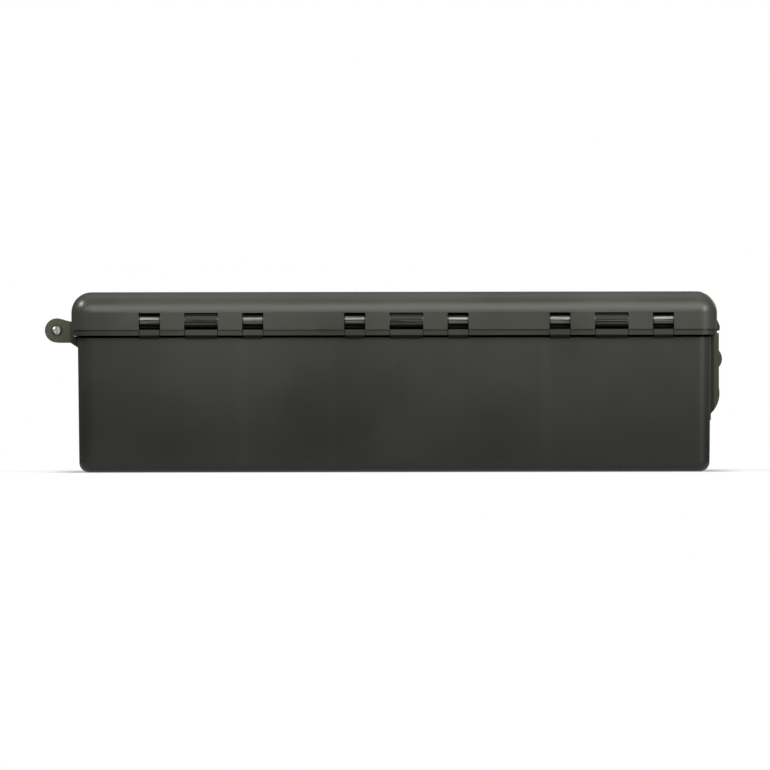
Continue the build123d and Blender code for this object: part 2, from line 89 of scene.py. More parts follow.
# Heights on the lid and in its rear windows, each as the Z where it begins and where it ends
SEAM_GAP = (SEAM_Z - 1.6 * MM, SEAM_Z + 0.2 * MM)
BEAD_TOP = (SEAM_Z + 2.0 * MM, SEAM_Z + 2.6 * MM)
GROOVE = (SEAM_Z + 2.2 * MM, SEAM_Z + 3.1 * MM)
WINDOW_FOOT = (SEAM_Z + 2.9 * MM, SEAM_Z + 3.2 * MM)
LOWER_BAND = (SEAM_Z + 6.0 * MM, SEAM_Z + 6.8 * MM)
UPPER_BAND = (SEAM_Z + 8.7 * MM, SEAM_Z + 10.7 * MM)
TOP_EDGE = (LID_HIGH.z - 1.4 * MM, LID_HIGH.z - 0.3 * MM)

# Depths from the rear wall's face, as the Y where the painted shade of the seam and of the windows fades out
SEAM_DEPTH = (LID_LOW.y + 2.6 * MM, LID_LOW.y + 3.2 * MM)
WINDOW_DEPTH = (LID_LOW.y + 8.0 * MM, LID_LOW.y + 9.0 * MM)

# A dust lip: its two faces, in from the lid's edge, its foot and top, its half length and its rounding
LIP_INNER, LIP_OUTER = 8.8 * MM, 7.6 * MM
LIP_FOOT, LIP_TOP = SEAM_Z - 1.0 * MM, SEAM_Z + 4.7 * MM
LIP_REACH = 20.2 * MM
LIP_ROUNDING = 0.4 * MM

# The first grip ridge stands this far above the lever's foot, with this share of its radius sunk in the pad
RIDGE_FOOT = 2.4 * MM
RIDGE_SUNK = 0.4

# The finger ribs' middles, in from the grip's outer face and up from its underside
RIB_INSET = 1.5 * MM
RIB_HEIGHT = 4.5 * MM

# The contact shadow follows the base's foot, which stands this far inside the lid's edge
FOOT_INSET = 6.0 * MM

# The floor in metres, and the camera's sensor in millimetres
FLOOR_HALF_WIDTH = 3.0
SENSOR_WIDTH = 36.0

# Soft lamps: name, place, the point that each faces, its width and height, and its power in watts
LAMPS = (
    ("Front_near_panel", (0.02, -0.27, 0.19), (0.0, -0.12, 0.06), (0.9, 0.10), 0.72),
    ("Front_far_strip", (0.20, -2.0, 0.70), (0.0, -0.12, 0.08), (1.9, 0.26), 5.6),
    ("Left_panel", (-1.10, -0.18, 0.85), (-0.17, -0.10, 0.09), (0.30, 0.30), 7.5),
    ("Right_panel", (1.15, -0.85, 0.42), (0.17, -0.10, 0.08), (0.20, 0.20), 4.6),
    ("Back_panel", (0.5, 1.7, 0.55), (0.0, 0.1, 0.06), (1.4, 0.7), 12.0),
    ("Top_panel", (0.0, 0.1, 0.9), (0.0, 0.0, 0.05), (1.1, 0.6), 1.0),
)

# Map Range nodes ease in and out, and hold their values at both ends
SMOOTH = {"interpolation_type": "SMOOTHSTEP"}


# Helpers


def linear(hex_colour):
    """An sRGB hex colour as linear RGBA."""
    values = []
    for start in (1, 3, 5):
        level = int(hex_colour[start:start + 2], 16) / 255
        values.append(level / 12.92 if level <= 0.04045 else ((level + 0.055) / 1.055) ** 2.4)
    return (*values, 1.0)


def add_node(tree, kind, inputs=(), **settings):
    """Add a node, set its properties, and fill its inputs, in order or by name or number.

    An input takes a value, a socket, or another node, of which it takes the result.
    """
    node = tree.nodes.new(kind)
    for name, value in settings.items():
        setattr(node, name, value)
    for key, value in inputs.items() if isinstance(inputs, dict) else enumerate(inputs):
        if isinstance(value, bpy.types.Node):
            value = next(socket for socket in value.outputs if socket.enabled)
        if isinstance(value, bpy.types.NodeSocket):
            tree.links.new(value, node.inputs[key])
        else:
            node.inputs[key].default_value = value
    return node


def new_material(name):
    """An empty node material and its tree."""
    material = bpy.data.materials.new(name)
    material.use_nodes = True
    material.node_tree.nodes.clear()
    return material, material.node_tree


def object_axes(tree):
    """Where a point lies along the case's length, depth and height."""
    place = add_node(tree, "ShaderNodeTexCoord").outputs["Object"]
    return add_node(tree, "ShaderNodeSeparateXYZ", (place,)).outputs


def object_noise(tree, wavelength, detail=2.0, stretch=(1.0, 1.0, 1.0)):
    """Noise on Object coordinates, with its wavelength in metres and an optional stretch by axis."""
    place = add_node(tree, "ShaderNodeTexCoord").outputs["Object"]
    scaled = add_node(tree, "ShaderNodeMapping", {"Vector": place, "Scale": tuple(1 / s for s in stretch)})
    inputs = {"Vector": scaled, "Scale": 1 / wavelength, "Detail": detail, "Roughness": 0.5}
    return add_node(tree, "ShaderNodeTexNoise", inputs)


def layered(tree, tint, *layers):
    """A tint under layers, each a mask from 0 to 1 and the sRGB colour that it lays over those below."""
    for mask, hex_colour in layers:
        tint = add_node(tree, "ShaderNodeMix", {0: mask, 6: tint, 7: linear(hex_colour)}, data_type="RGBA")
    return tint


def outside(tree, value, half):
    """How far a coordinate lies beyond plus or minus a half size, and 0 within it."""
    for operation, operand in (("ABSOLUTE", 0.0), ("SUBTRACT", half), ("MAXIMUM", 0.0)):
        value = add_node(tree, "ShaderNodeMath", (value, operand), operation=operation)
    return value


def band(tree, value, low, high, edge, level=1.0):
    """A level between two values and 0 outside them, with soft edges."""
    rise = add_node(tree, "ShaderNodeMapRange", (value, low - edge, low + edge, 0.0, level), **SMOOTH)
    fall = add_node(tree, "ShaderNodeMapRange", (value, high - edge, high + edge, 1.0, 0.0), **SMOOTH)
    return add_node(tree, "ShaderNodeMath", (rise, fall), operation="MULTIPLY")


def give_material(names, material):
    """Give CAD nodes a material in every slot they have."""
    for name in names:
        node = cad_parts[name]
        if not node.material_slots:
            node.data.materials.append(material)
        for slot in node.material_slots:
            slot.material = material


def mesh_piece(name, mesh, body, material):
    """A finished piece at the origin, riding on its body."""
    piece = bpy.data.objects.new(name, mesh)
    bpy.context.scene.collection.objects.link(piece)
    if material.name not in mesh.materials:
        mesh.materials.append(material)
    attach(piece, body)
    return piece


# Finishes


def sink_mark_light(tree, across):
    """Faint pale upright stripes of painted light where partitions and slot ribs meet the wall, for the
    shading of their sink marks.
    """
    mirrored = add_node(tree, "ShaderNodeMath", (across, 0.0), operation="ABSOLUTE")
    stripes = 0.0
    for centre, half_width, strength in SINK_MARK_LIGHT:
        offset = add_node(tree, "ShaderNodeMath", (mirrored, centre), operation="SUBTRACT")
        distance = add_node(tree, "ShaderNodeMath", (offset, 0.0), operation="ABSOLUTE")
        reach = (distance, 0.3 * half_width, half_width, strength, 0.0)
        stripe = add_node(tree, "ShaderNodeMapRange", reach, **SMOOTH)
        stripes = add_node(tree, "ShaderNodeMath", (stripes, stripe), operation="ADD")
    return stripes


def distance_from_bar(tree):
    """Distance from the strap bar's axis, which runs along Y."""
    place = add_node(tree, "ShaderNodeTexCoord").outputs["Object"]
    moved = add_node(tree, "ShaderNodeVectorMath", (place, middle_of("strap_bar")), operation="SUBTRACT")
    flat = add_node(tree, "ShaderNodeVectorMath", (moved, (1.0, 0.0, 1.0)), operation="MULTIPLY")
    return add_node(tree, "ShaderNodeVectorMath", (flat,), operation="LENGTH")


def rim_painted_shade(tree, along, up):
    """Painted shade in the seam and in the hinge windows, kept off two bands of each knuckle, which show as
    its lit raised lands.
    """
    at_face = add_node(tree, "ShaderNodeMapRange", (along, *SEAM_DEPTH, 1.0, 0.0), **SMOOTH)
    in_gap = band(tree, up, *SEAM_GAP, 0.15 * MM)
    seam = add_node(tree, "ShaderNodeMath", (at_face, in_gap), operation="MULTIPLY")

    at_rear = add_node(tree, "ShaderNodeMapRange", (along, *WINDOW_DEPTH, 1.0, 0.0), **SMOOTH)
    above_foot = add_node(tree, "ShaderNodeMapRange", (up, *WINDOW_FOOT, 0.0, 1.0), **SMOOTH)
    window = add_node(tree, "ShaderNodeMath", (above_foot, at_rear), operation="MULTIPLY")
    upper = band(tree, up, *UPPER_BAND, 0.25 * MM)
    lower = band(tree, up, *LOWER_BAND, 0.2 * MM, level=0.75)
    lit_lands = add_node(tree, "ShaderNodeMath", (upper, lower), operation="MAXIMUM")
    kept = add_node(tree, "ShaderNodeMath", (1.0, lit_lands), operation="SUBTRACT")
    window = add_node(tree, "ShaderNodeMath", (window, kept), operation="MULTIPLY")
    return add_node(tree, "ShaderNodeMath", (seam, window), operation="MAXIMUM")


def base_marks(tree, tint, light_colour):
    """The base's own marks: pale stripes of painted light for the sink marks of its inner walls, painted
    shade darkening it towards its foot, paler lugs and cheeks, painted shade in the seam and the hinge
    windows, and a ring of painted shade round the strap bar.

    The painted shade of the seam and windows is matt, so it also gives the least roughness.
    """
    across, along, up = object_axes(tree)
    # Painted shade in the seam between lid and base and in the hinge windows, laid almost black
    painted_shade = rim_painted_shade(tree, along, up)
    shade_strength = add_node(tree, "ShaderNodeMath", (painted_shade, 0.90), operation="MULTIPLY")
    # Painted shade: the base darkens towards its foot, for the lesser light low on its wall
    foot = add_node(tree, "ShaderNodeMapRange", (up, 0.0, SEAM_Z, 0.68, 0.0), **SMOOTH)
    # Painted shade: a near-black ring round the strap bar's end, for the shaded gap round the bar in its lug
    ring = band(tree, distance_from_bar(tree), BAR_RADIUS, BAR_RADIUS + 0.7 * MM, 0.15 * MM, level=0.85)

    # The lugs and the latch cheeks are given a paler tone
    lugs = (across, LUG_X - 1.0 * MM, LUG_X + 1.0 * MM, 0.85, 0.0)
    end_cheeks = (across, CHEEK_X - 0.3 * MM, CHEEK_X + 0.3 * MM, 0.0, 0.50)
    front_cheeks = (along, CHEEK_Y - 0.3 * MM, CHEEK_Y + 0.3 * MM, 0.0, 0.50)
    paler_parts = 0.0
    for place in (lugs, end_cheeks, front_cheeks):
        part = add_node(tree, "ShaderNodeMapRange", place, **SMOOTH)
        paler_parts = add_node(tree, "ShaderNodeMath", (paler_parts, part), operation="MAXIMUM")

    # Layers, from the bottom: painted light of the sink marks, painted shade at the foot, the paler lugs and
    # cheeks, painted shade in the seam and the windows, and a ring of painted shade round the strap bar
    layers = (
        (sink_mark_light(tree, across), light_colour),
        (foot, "#171712"),
        (paler_parts, "#717259"),
        (shade_strength, "#050504"),
        (ring, "#0a0a08"),
    )
    return layered(tree, tint, *layers), painted_shade


def lid_marks(tree, tint, _):
    """The lid's own marks: painted shade in its rim's groove and below the top of its bead, and a rough
    texture on its flat top.
    """
    up = object_axes(tree)[2]
    # Painted shade in the rim's groove and below the bead's top
    groove_shade = band(tree, up, *GROOVE, 0.25 * MM, level=0.45)
    bead_shade = add_node(tree, "ShaderNodeMapRange", (up, *BEAD_TOP, 0.35, 0.0), **SMOOTH)
    painted_shade = add_node(tree, "ShaderNodeMath", (groove_shade, bead_shade), operation="ADD")
    textured = add_node(tree, "ShaderNodeMapRange", (up, *TOP_EDGE, 0.0, 0.66), **SMOOTH)
    return layered(tree, tint, (painted_shade, "#0c0c0a")), textured


def moulded_copolymer(name, colour, light_colour, roughness, waviness=0.25 * MM, marks=None):
    """Injection-moulded polypropylene copolymer from a lightly polished tool.

    It gives a soft, low gloss with slow waviness, a fine grain, and pale clouds and scuffs. marks is a
    function for what one piece alone shows: from the tree, the tint and the light colour, it gives the new
    tint and a least roughness.
    """
    material, tree = new_material(name)
    # The melt's flow pales the plastic in clouds of 70 mm, and long level scuffs are 2.2 mm high
    flow = object_noise(tree, 70 * MM, 3.0)
    scuffs = object_noise(tree, 2.2 * MM, 4.0, stretch=(9.0, 9.0, 1.0))
    paler = add_node(tree, "ShaderNodeMapRange", (flow, 0.3, 0.7, 0.0, 0.45), **SMOOTH)
    scuffed = add_node(tree, "ShaderNodeMapRange", (scuffs, 0.60, 0.74, 0.0, 0.10), **SMOOTH)
    tint = layered(tree, linear(colour), (paler, light_colour), (scuffed, light_colour))
    levels = (flow, 0.25, 0.75, roughness - 0.05, roughness + 0.06)
    gloss = add_node(tree, "ShaderNodeMapRange", levels, **SMOOTH)
    if marks:
        tint, least = marks(tree, tint, light_colour)
        gloss = add_node(tree, "ShaderNodeMath", (gloss, least), operation="MAXIMUM")

    # The wall's slow waves of shrinkage, then the tool's grain, drawn at 0.9 mm so that it shows
    waves = object_noise(tree, 38 * MM, 1.5)
    swell = add_node(tree, "ShaderNodeBump", {"Height": waves, "Strength": 1.0, "Distance": waviness})
    grain = {"Height": object_noise(tree, 0.9 * MM), "Strength": 0.35, "Distance": 0.012 * MM}
    relief = add_node(tree, "ShaderNodeBump", {**grain, "Normal": swell})
    surface = {"Base Color": tint, "Roughness": gloss, "IOR": 1.49, "Normal": relief}
    shader = add_node(tree, "ShaderNodeBsdfPrincipled", surface)
    add_node(tree, "ShaderNodeOutputMaterial", (shader,))
    return material


def drawn_stainless(name, axis, dark="#5c5c5a", bright="#959592"):
    """Cold-drawn stainless wire, straightened and cut: bright, with fine lines along its length."""
    material, tree = new_material(name)
    # Drawing lines, 0.5 mm apart so that they show, and 40 times as long
    stretch = tuple(40.0 if letter == axis else 1.0 for letter in "XYZ")
    lines = object_noise(tree, 0.5 * MM, 3.0, stretch)
    shine = add_node(tree, "ShaderNodeMapRange", (lines, 0.35, 0.65, 0.0, 1.0), **SMOOTH)
    relief = add_node(tree, "ShaderNodeBump", {"Height": lines, "Strength": 0.2, "Distance": 0.05 * MM})
    surface = {
        "Base Color": layered(tree, linear(dark), (shine, bright)),
        "Metallic": 1.0,
        "Roughness": add_node(tree, "ShaderNodeMapRange", (lines, 0.3, 0.7, 0.30, 0.46), **SMOOTH),
        "Normal": relief,
    }
    shader = add_node(tree, "ShaderNodeBsdfPrincipled", surface)
    add_node(tree, "ShaderNodeOutputMaterial", (shader,))
    return material


def ray_masks(tree):
    """1 for rays from the camera or through something clear, and 1 for mirrored rays, as two masks."""
    rays = add_node(tree, "ShaderNodeLightPath").outputs
    direct = (rays["Is Camera Ray"], rays["Is Transmission Ray"])
    return add_node(tree, "ShaderNodeMath", direct, operation="MAXIMUM"), rays["Is Glossy Ray"]


def studio_paper(name, half_length, half_depth, fade, near_glow, mid_glow):
    """Matt paper that the camera sees as pure white, with a soft contact shadow round the case's foot.

    The shadow rises from near_glow to mid_glow over fade, and on to white over four times as far again.
    Past the ends of the case it is four times shorter, as in the photograph. Mirrored rays see the paper
    glow dimmer than white, most near the case's foot: a painted reflection on the case.
    """
    material, tree = new_material(name)
    across, along, _ = object_axes(tree)
    past_end, past_side = outside(tree, across, half_length), outside(tree, along, half_depth)
    shortened = add_node(tree, "ShaderNodeMath", (past_end, 4.0), operation="MULTIPLY")
    beyond = add_node(tree, "ShaderNodeCombineXYZ", (shortened, past_side))
    reach = add_node(tree, "ShaderNodeVectorMath", (beyond,), operation="LENGTH")
    contact = add_node(tree, "ShaderNodeMapRange", (reach, 0.0, fade, near_glow, mid_glow), **SMOOTH)
    farther = add_node(tree, "ShaderNodeMapRange", (reach, fade, 5 * fade, 0.0, 1.0 - mid_glow), **SMOOTH)
    white = add_node(tree, "ShaderNodeMath", (contact, farther), operation="ADD")
    # Painted reflection: to mirrored rays the paper glows, most near the case's foot
    reflected_glow = add_node(tree, "ShaderNodeMapRange", (reach, 0.0, 2 * fade, 0.55, 0.08), **SMOOTH)
    seen, mirrored = ray_masks(tree)
    glow = add_node(tree, "ShaderNodeMath", (seen, white), operation="MULTIPLY")
    painted_reflection = add_node(tree, "ShaderNodeMath", (mirrored, reflected_glow), operation="MULTIPLY")
    strength = add_node(tree, "ShaderNodeMath", (glow, painted_reflection), operation="ADD")
    shine = add_node(tree, "ShaderNodeEmission", {"Strength": strength})
    paper = add_node(tree, "ShaderNodeBsdfDiffuse", {"Color": linear("#696969")})
    both = add_node(tree, "ShaderNodeAddShader", (paper, shine))
    add_node(tree, "ShaderNodeOutputMaterial", (both,))
    return material


def studio_surround(world, horizon, zenith):
    """White to the camera; to the case, a soft dome that is brighter overhead than at the horizon."""
    world.use_nodes = True
    tree = world.node_tree
    tree.nodes.clear()
    direction = add_node(tree, "ShaderNodeTexCoord").outputs["Generated"]
    height = add_node(tree, "ShaderNodeSeparateXYZ", (direction,)).outputs[2]
    dome = add_node(tree, "ShaderNodeMapRange", (height, 0.0, 0.9, horizon, zenith), **SMOOTH)
    seen, _ = ray_masks(tree)
    level = add_node(tree, "ShaderNodeMix", {0: seen, 2: dome, 3: 1.0}, data_type="FLOAT")
    sky = add_node(tree, "ShaderNodeBackground", {"Color": linear("#ffffff"), "Strength": level})
    add_node(tree, "ShaderNodeOutputWorld", (sky,))


# Settings


class CaseFinish(bpy.types.PropertyGroup):
    case_colour: bpy.props.StringProperty(
        name="Base colour", description="Tone of the base", default="#33342d"
    )
    case_light: bpy.props.StringProperty(
        name="Base light tone", description="Rubbed tone of the base", default="#45463e"
    )
    # The lid's tones are lighter than the base's as painted light: the same plastic, with the lid's skirt
    # catching more light
    lid_lit_colour: bpy.props.StringProperty(
        name="Lid colour", description="Tone of the lid", default="#40413a"
    )
    lid_lit_pale: bpy.props.StringProperty(
        name="Lid light tone", description="Rubbed tone of the lid", default="#53544c"
    )
    latch_colour: bpy.props.StringProperty(
        name="Latch colour", description="Tone of the latches and the handle", default="#34352f"
    )
    divider_colour: bpy.props.StringProperty(
        name="Divider colour", description="Tone of the partitions and dividers", default="#5b5c52"
    )
    gloss: bpy.props.FloatProperty(
        name="Roughness", description="Roughness of the shells", default=0.40, min=0, max=1
    )


class LatchDetail(bpy.types.PropertyGroup):
    ridge_count: bpy.props.IntProperty(
        name="Pad ridges", description="Grip ridges on a lever pad", default=3
    )
    ridge_pitch: bpy.props.FloatProperty(
        name="Ridge pitch", description="Spacing of the grip ridges", default=2.3 * MM, unit="LENGTH"
    )
    ridge_radius: bpy.props.FloatProperty(
        name="Ridge radius", description="Radius of one grip ridge", default=0.45 * MM, unit="LENGTH"
    )
    ridge_length: bpy.props.FloatProperty(
        name="Ridge length", description="Length of one grip ridge", default=28 * MM, unit="LENGTH"
    )


class HingeDetail(bpy.types.PropertyGroup):
    window_pitch: bpy.props.FloatProperty(
        name="Window pitch", description="Side window from the middle one", default=28.8 * MM, unit="LENGTH"
    )
    window_width: bpy.props.FloatProperty(
        name="Window width", description="Width of a side window", default=11.8 * MM, unit="LENGTH"
    )
    collar_width: bpy.props.FloatProperty(
        name="Collar width", description="Thickness of a pin collar", default=0.8 * MM, unit="LENGTH"
    )
    collar_radius: bpy.props.FloatProperty(
        name="Collar radius", description="Outer radius of a pin collar", default=3.40 * MM, unit="LENGTH"
    )


class HandleDetail(bpy.types.PropertyGroup):
    rib_count: bpy.props.IntProperty(
        name="Grip ribs", description="Finger ribs under the grip", default=15
    )
    rib_pitch: bpy.props.FloatProperty(
        name="Rib pitch", description="Spacing of the ribs", default=5 * MM, unit="LENGTH"
    )
    rib_radius: bpy.props.FloatProperty(
        name="Rib radius", description="Radius of one rib", default=0.7 * MM, unit="LENGTH"
    )
    rib_length: bpy.props.FloatProperty(
        name="Rib length", description="Length of one rib", default=4 * MM, unit="LENGTH"
    )


class StudioSetup(bpy.types.PropertyGroup):
    focal_length: bpy.props.FloatProperty(
        name="Lens", description="Lens in millimetres", default=1000.0
    )
    horizon_level: bpy.props.FloatProperty(
        name="Horizon", description="Dome level at the horizon", default=0.04
    )
    zenith_level: bpy.props.FloatProperty(
        name="Zenith", description="Dome level overhead", default=0.20
    )
    view_width: bpy.props.FloatProperty(
        name="View width", description="Picture width at the near face", default=428.9 * MM, unit="LENGTH"
    )
    view_x: bpy.props.FloatProperty(
        name="View X", description="Camera X", default=-5.2 * MM, unit="LENGTH"
    )
    view_z: bpy.props.FloatProperty(
        name="View height", description="Camera Z", default=48.5 * MM, unit="LENGTH"
    )
    roll: bpy.props.FloatProperty(
        name="Roll", description="Picture roll", default=radians(0.1), subtype="ANGLE"
    )


# Pieces


# The inputs that each repeated shape reads beside those of its row, and their types
BAR_SIZES = {"Length": "NodeSocketVector", "Radius": "NodeSocketFloat"}
RING_SIZES = dict.fromkeys(("Hole", "Radius", "Width"), "NodeSocketFloat")


def row_tree(name, shape, sizes):
    """A tree that repeats a shape in a row, by count, start and step.

    shape is a function that adds the nodes of one shape to the tree, and sizes names the inputs it reads.
    """
    tree = bpy.data.node_groups.new(name, "GeometryNodeTree")
    tree.interface.new_socket("Geometry", in_out="OUTPUT", socket_type="NodeSocketGeometry")
    row_inputs = {"Count": "NodeSocketInt", "Start": "NodeSocketVector", "Step": "NodeSocketVector"}
    for label, kind in {**row_inputs, **sizes, "Material": "NodeSocketMaterial"}.items():
        tree.interface.new_socket(label, in_out="INPUT", socket_type=kind)
    given = tree.nodes.new("NodeGroupInput").outputs
    places = {"Count": given["Count"], "Start Location": given["Start"], "Offset": given["Step"]}
    row = add_node(tree, "GeometryNodeMeshLine", places, mode="OFFSET")
    placed = add_node(tree, "GeometryNodeInstanceOnPoints", {"Points": row, "Instance": shape(tree, given)})
    real = add_node(tree, "GeometryNodeRealizeInstances", (placed,))
    finished = add_node(tree, "GeometryNodeSetMaterial", {"Geometry": real, "Material": given["Material"]})
    add_node(tree, "NodeGroupOutput", (finished,))
    return tree


def round_bar(tree, given):
    """A straight round bar with closed ends, centred on its place, along the Length vector."""
    ends = [
        add_node(tree, "ShaderNodeVectorMath", {0: given["Length"], "Scale": share}, operation="SCALE")
        for share in (-0.5, 0.5)
    ]
    bar = add_node(tree, "GeometryNodeCurvePrimitiveLine", ends)
    ring = add_node(tree, "GeometryNodeCurvePrimitiveCircle", {"Resolution": 12, "Radius": given["Radius"]})
    sweep = {"Curve": bar, "Profile Curve": ring, "Fill Caps": True}
    return add_node(tree, "GeometryNodeCurveToMesh", sweep)


def flat_ring(tree, given):
    """A flat ring round the X axis, from its Hole to its Radius and as thick as its Width."""
    wall = add_node(tree, "ShaderNodeMath", (given["Radius"], given["Hole"]), operation="SUBTRACT")
    half = add_node(tree, "ShaderNodeMath", (wall, 0.5), operation="MULTIPLY")
    middle = add_node(tree, "ShaderNodeMath", (given["Hole"], half), operation="ADD")
    path = add_node(tree, "GeometryNodeCurvePrimitiveCircle", {"Resolution": 40, "Radius": middle})
    upright = add_node(tree, "GeometryNodeTransform", {"Geometry": path, "Rotation": (0.0, pi / 2, 0.0)})
    sides = {"Width": wall, "Height": given["Width"]}
    section = add_node(tree, "GeometryNodeCurvePrimitiveQuadrilateral", sides)
    edges = {"Curve": section, "Radius": 0.12 * MM, "Count": 2, "Limit Radius": True}
    rounded = add_node(tree, "GeometryNodeFilletCurve", edges, mode="POLY")
    return add_node(tree, "GeometryNodeCurveToMesh", {"Curve": upright, "Profile Curve": rounded})


def bake_tree(name, tree, values, body, material):
    """Run a node tree on an empty mesh and keep the result as a plain piece."""
    carrier = bpy.data.objects.new(f"{name}_carrier", bpy.data.meshes.new(f"{name}_empty"))
    bpy.context.scene.collection.objects.link(carrier)
    modifier = carrier.modifiers.new("Row", "NODES")
    modifier.node_group = tree
    sockets = {s.name: s.identifier for s in tree.interface.items_tree if s.in_out == "INPUT"}
    for label, value in {**values, "Material": material}.items():
        modifier[sockets[label]] = value
    evaluated = carrier.evaluated_get(bpy.context.evaluated_depsgraph_get())
    mesh = bpy.data.meshes.new_from_object(evaluated)
    carrier.modifiers.remove(modifier)
    bpy.data.objects.remove(carrier)
    if not mesh.polygons:
        raise RuntimeError(f"{name} has no faces")
    mesh.name = name
    for polygon in mesh.polygons:
        polygon.use_smooth = True
    return mesh_piece(name, mesh, body, material)


def rounded_bar(name, low, high, radius, body, material):
    """A solid bar between two corners, with rounded edges."""
    shape = bmesh.new()
    bmesh.ops.create_cube(shape, size=1.0)
    size = Vector(high) - Vector(low)
    centre = (Vector(high) + Vector(low)) / 2
    for vertex in shape.verts:
        vertex.co = Vector([c * s for c, s in zip(vertex.co, size)]) + centre
    bmesh.ops.bevel(shape, geom=shape.edges[:], offset=radius, segments=3, affect="EDGES", profile=0.5)
    mesh = bpy.data.meshes.new(name)
    shape.to_mesh(mesh)
    shape.free()
    return mesh_piece(name, mesh, body, material)


class CASE_OT_shells(bpy.types.Operator):
    """Finish the lid and the base in one moulded plastic, each with its own marks; the lid's lighter tone is
    painted light.
    """

    bl_idname = "tackle_case.shells"
    bl_label = "Shells"

    def execute(self, context):
        finish = context.scene.case_finish
        base_tones = finish.case_colour, finish.case_light, finish.gloss, 0.35 * MM
        give_material(["base_shell"], moulded_copolymer("Moulded_copolymer_shell", *base_tones, base_marks))
        # The lid was polished a little more than the base, and is wavier
        # The lid's lighter tones are painted light
        lid_tones = finish.lid_lit_colour, finish.lid_lit_pale, finish.gloss - 0.06, 0.45 * MM
        give_material(["lid_shell"], moulded_copolymer("Moulded_copolymer_lid", *lid_tones, lid_marks))
        return {"FINISHED"}


class CASE_OT_steel(bpy.types.Operator):
    """Finish the pins and the strap bar as drawn stainless steel."""

    bl_idname = "tackle_case.steel"
    bl_label = "Steel pins"

    def execute(self, context):
        along_x = drawn_stainless("Drawn_stainless_along_case", "X")
        along_y = drawn_stainless("Drawn_stainless_across_case", "Y")
        # The bar shows its sheared end, which is brighter than a drawn surface
        cut_end = drawn_stainless("Sheared_stainless_bar", "Z", "#b4b4b0", "#ffffff")
        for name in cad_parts:
            if name == "strap_bar":
                give_material([name], cut_end)
            elif name.endswith("right_end") and "pin" in name:
                give_material([name], along_y)
            elif "pin" in name:
                give_material([name], along_x)
        return {"FINISHED"}


class CASE_OT_hinges(bpy.types.Operator):
    """Put near-black collars round the pins at the edges of the side windows, as painted shade in the gaps
    there.
    """

    bl_idname = "tackle_case.hinges"
    bl_label = "Hinge details"

    def execute(self, context):
        detail = context.scene.hinge_detail
        # Acetal collars: near black as painted shade in the gaps at the window edges, and duller than the
        # shells
        gap_shade_black = moulded_copolymer("Acetal_collar_painted_shade", "#0b0b09", "#151512", 0.5)
        collars = row_tree("Pin_collars", flat_ring, RING_SIZES)
        inner = detail.window_width / 2 - detail.collar_width / 2
        for side in HINGE_PINS:
            low, high = box_corners(f"hinge_pin_{side}")
            axis = (low + high) / 2
            for end, sign in (("west", -1), ("east", 1)):
                window_x = axis.x + sign * detail.window_pitch
                values = {
                    "Count": 2,
                    "Start": (window_x - inner, axis.y, axis.z),
                    "Step": (2 * inner, 0.0, 0.0),
                    "Hole": (high.z - low.z) / 2,
                    "Radius": detail.collar_radius,
                    "Width": detail.collar_width,
                }
                bake_tree(f"pin_collars_{side}_{end}", collars, values, "lid", gap_shade_black)
        return {"FINISHED"}


class CASE_OT_dust_lips(bpy.types.Operator):
    """Hang a thin lip inside the lid behind each catch, so that the rim gap there is closed."""

    bl_idname = "tackle_case.dust_lips"
    bl_label = "Dust lips"

    def execute(self, context):
        finish = context.scene.case_finish
        # The lid's plastic, without the marks of its rim and its top
        tones = finish.lid_lit_colour, finish.lid_lit_pale, finish.gloss
        plastic = moulded_copolymer("Moulded_copolymer_lip", *tones)
        for name in LATCHES:
            if name == "right_end":
                end = LID_LENGTH / 2
                low = (end - LIP_INNER, -LIP_REACH, LIP_FOOT)
                high = (end - LIP_OUTER, LIP_REACH, LIP_TOP)
            else:
                latch_x = middle_of(f"latch_lever_{name}").x
                front = -LID_LOW.y
                low = (latch_x - LIP_REACH, front - LIP_INNER, LIP_FOOT)
                high = (latch_x + LIP_REACH, front - LIP_OUTER, LIP_TOP)
            rounded_bar(f"dust_lip_{name}", low, high, LIP_ROUNDING, "lid", plastic)
        return {"FINISHED"}


class CASE_OT_latches(bpy.types.Operator):
    """Finish the latches and put grip ridges on their pads."""

    bl_idname = "tackle_case.latches"
    bl_label = "Latches"

    def execute(self, context):
        finish = context.scene.case_finish
        detail = context.scene.latch_detail
        # Acetal levers and hooks: a little glossier than the shells
        plastic = moulded_copolymer("Moulded_acetal_latch", finish.latch_colour, finish.case_light, 0.34)
        ridges = row_tree("Grip_ridges", round_bar, BAR_SIZES)
        sunk = RIDGE_SUNK * detail.ridge_radius
        for name in LATCHES:
            give_material([f"latch_lever_{name}", f"latch_hook_{name}"], plastic)
            low, high = box_corners(f"latch_lever_{name}")
            middle = (low + high) / 2
            foot = low.z + RIDGE_FOOT
            if name == "right_end":
                start, length = (high.x - sunk, middle.y, foot), (0.0, detail.ridge_length, 0.0)
            else:
                start, length = (middle.x, high.y - sunk, foot), (detail.ridge_length, 0.0, 0.0)
            values = {
                "Count": detail.ridge_count,
                "Start": start,
                "Step": (0.0, 0.0, detail.ridge_pitch),
                "Length": length,
                "Radius": detail.ridge_radius,
            }
            bake_tree(f"lever_ridges_{name}", ridges, values, f"lever_{name}", plastic)
        return {"FINISHED"}


